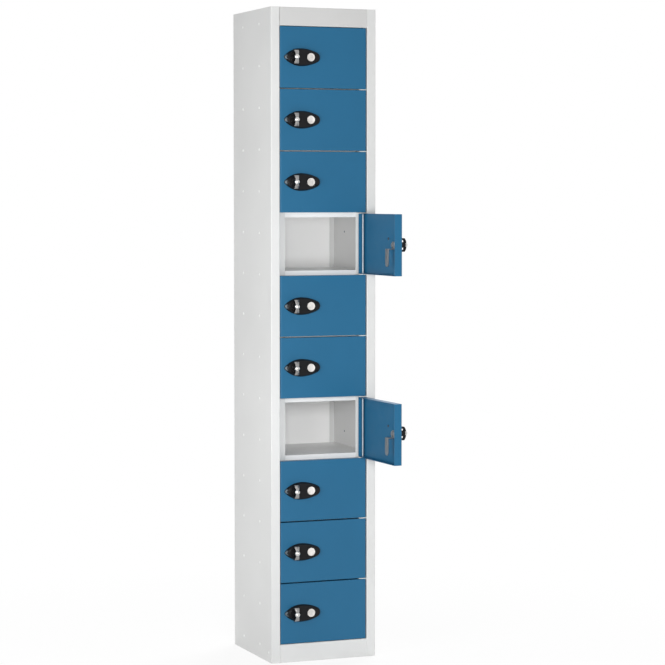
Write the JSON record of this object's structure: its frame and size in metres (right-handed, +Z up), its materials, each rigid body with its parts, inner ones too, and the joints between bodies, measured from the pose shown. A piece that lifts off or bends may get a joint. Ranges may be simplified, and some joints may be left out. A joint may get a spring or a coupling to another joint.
{
  "type": "tablet locker",
  "caption": "Narrow steel charging locker for tablets, a column of hinged doors with turning padlock latches over shelved compartments.",
  "frame": {"origin": "middle of the carcass's footprint, on the floor", "axes": "+Z up, the doors face -Y, the hinge rod is on the +X side"},
  "size_m": [0.3126, 0.5427, 1.78],
  "materials": {
    "body": "light grey powder coat",
    "door": "blue powder coat",
    "rod": "bright zinc-plated steel",
    "lock": "black moulded plastic",
    "disc": "white plastic",
    "steel": "zinc-plated steel"
  },
  "bodies": {
    "carcass": {"left_side_panel": "body", "right_side_panel": "body", "back_panel": "body", "top_panel": "body", "base_panel": "body", "shelves": "body", "hinge_tabs": "body", "hinge_rod": "rod"},
    "door_1": {"door_panel_1": "door", "lock_housing_1": "lock", "number_disc_1": "disc"},
    "latch_1": {"latch_knob_1": "lock", "latch_cam_1": "steel"},
    "door_2": {"door_panel_2": "door", "lock_housing_2": "lock", "number_disc_2": "disc"},
    "latch_2": {"latch_knob_2": "lock", "latch_cam_2": "steel"},
    "door_3": {"door_panel_3": "door", "lock_housing_3": "lock", "number_disc_3": "disc"},
    "latch_3": {"latch_knob_3": "lock", "latch_cam_3": "steel"},
    "door_4": {"door_panel_4": "door", "lock_housing_4": "lock", "number_disc_4": "disc"},
    "latch_4": {"latch_knob_4": "lock", "latch_cam_4": "steel"},
    "door_5": {"door_panel_5": "door", "lock_housing_5": "lock", "number_disc_5": "disc"},
    "latch_5": {"latch_knob_5": "lock", "latch_cam_5": "steel"},
    "door_6": {"door_panel_6": "door", "lock_housing_6": "lock", "number_disc_6": "disc"},
    "latch_6": {"latch_knob_6": "lock", "latch_cam_6": "steel"},
    "door_7": {"door_panel_7": "door", "lock_housing_7": "lock", "number_disc_7": "disc"},
    "latch_7": {"latch_knob_7": "lock", "latch_cam_7": "steel"},
    "door_8": {"door_panel_8": "door", "lock_housing_8": "lock", "number_disc_8": "disc"},
    "latch_8": {"latch_knob_8": "lock", "latch_cam_8": "steel"},
    "door_9": {"door_panel_9": "door", "lock_housing_9": "lock", "number_disc_9": "disc"},
    "latch_9": {"latch_knob_9": "lock", "latch_cam_9": "steel"},
    "door_10": {"door_panel_10": "door", "lock_housing_10": "lock", "number_disc_10": "disc"},
    "latch_10": {"latch_knob_10": "lock", "latch_cam_10": "steel"}
  },
  "joints": [
    {"name": "door_hinge_1", "type": "hinge", "parent": "carcass", "child": "door_1", "pos_m": [0.1185, -0.1455, 1.646], "axis": [0, 0, 1], "range_deg": [0, 100]},
    {"name": "latch_turn_1", "type": "hinge", "parent": "door_1", "child": "latch_1", "pos_m": [-0.087, -0.1525, 1.646], "axis": [0, 1, 0], "range_deg": [0, 90]},
    {"name": "door_hinge_2", "type": "hinge", "parent": "carcass", "child": "door_2", "pos_m": [0.1185, -0.1455, 1.478], "axis": [0, 0, 1], "range_deg": [0, 100]},
    {"name": "latch_turn_2", "type": "hinge", "parent": "door_2", "child": "latch_2", "pos_m": [-0.087, -0.1525, 1.478], "axis": [0, 1, 0], "range_deg": [0, 90]},
    {"name": "door_hinge_3", "type": "hinge", "parent": "carcass", "child": "door_3", "pos_m": [0.1185, -0.1455, 1.31], "axis": [0, 0, 1], "range_deg": [0, 100]},
    {"name": "latch_turn_3", "type": "hinge", "parent": "door_3", "child": "latch_3", "pos_m": [-0.087, -0.1525, 1.31], "axis": [0, 1, 0], "range_deg": [0, 90]},
    {"name": "door_hinge_4", "type": "hinge", "parent": "carcass", "child": "door_4", "pos_m": [0.1185, -0.1455, 1.142], "axis": [0, 0, 1], "range_deg": [-91, 9]},
    {"name": "latch_turn_4", "type": "hinge", "parent": "door_4", "child": "latch_4", "pos_m": [0.12909, -0.35085, 1.142], "axis": [-0.9998, -0.0175, 0], "range_deg": [0, 90]},
    {"name": "door_hinge_5", "type": "hinge", "parent": "carcass", "child": "door_5", "pos_m": [0.1185, -0.1455, 0.974], "axis": [0, 0, 1], "range_deg": [0, 100]},
    {"name": "latch_turn_5", "type": "hinge", "parent": "door_5", "child": "latch_5", "pos_m": [-0.087, -0.1525, 0.974], "axis": [0, 1, 0], "range_deg": [0, 90]},
    {"name": "door_hinge_6", "type": "hinge", "parent": "carcass", "child": "door_6", "pos_m": [0.1185, -0.1455, 0.806], "axis": [0, 0, 1], "range_deg": [0, 100]},
    {"name": "latch_turn_6", "type": "hinge", "parent": "door_6", "child": "latch_6", "pos_m": [-0.087, -0.1525, 0.806], "axis": [0, 1, 0], "range_deg": [0, 90]},
    {"name": "door_hinge_7", "type": "hinge", "parent": "carcass", "child": "door_7", "pos_m": [0.1185, -0.1455, 0.638], "axis": [0, 0, 1], "range_deg": [-91, 9]},
    {"name": "latch_turn_7", "type": "hinge", "parent": "door_7", "child": "latch_7", "pos_m": [0.12909, -0.35085, 0.638], "axis": [-0.9998, -0.0175, 0], "range_deg": [0, 90]},
    {"name": "door_hinge_8", "type": "hinge", "parent": "carcass", "child": "door_8", "pos_m": [0.1185, -0.1455, 0.47], "axis": [0, 0, 1], "range_deg": [0, 100]},
    {"name": "latch_turn_8", "type": "hinge", "parent": "door_8", "child": "latch_8", "pos_m": [-0.087, -0.1525, 0.47], "axis": [0, 1, 0], "range_deg": [0, 90]},
    {"name": "door_hinge_9", "type": "hinge", "parent": "carcass", "child": "door_9", "pos_m": [0.1185, -0.1455, 0.302], "axis": [0, 0, 1], "range_deg": [0, 100]},
    {"name": "latch_turn_9", "type": "hinge", "parent": "door_9", "child": "latch_9", "pos_m": [-0.087, -0.1525, 0.302], "axis": [0, 1, 0], "range_deg": [0, 90]},
    {"name": "door_hinge_10", "type": "hinge", "parent": "carcass", "child": "door_10", "pos_m": [0.1185, -0.1455, 0.134], "axis": [0, 0, 1], "range_deg": [0, 100]},
    {"name": "latch_turn_10", "type": "hinge", "parent": "door_10", "child": "latch_10", "pos_m": [-0.087, -0.1525, 0.134], "axis": [0, 1, 0], "range_deg": [0, 90]}
  ]
}
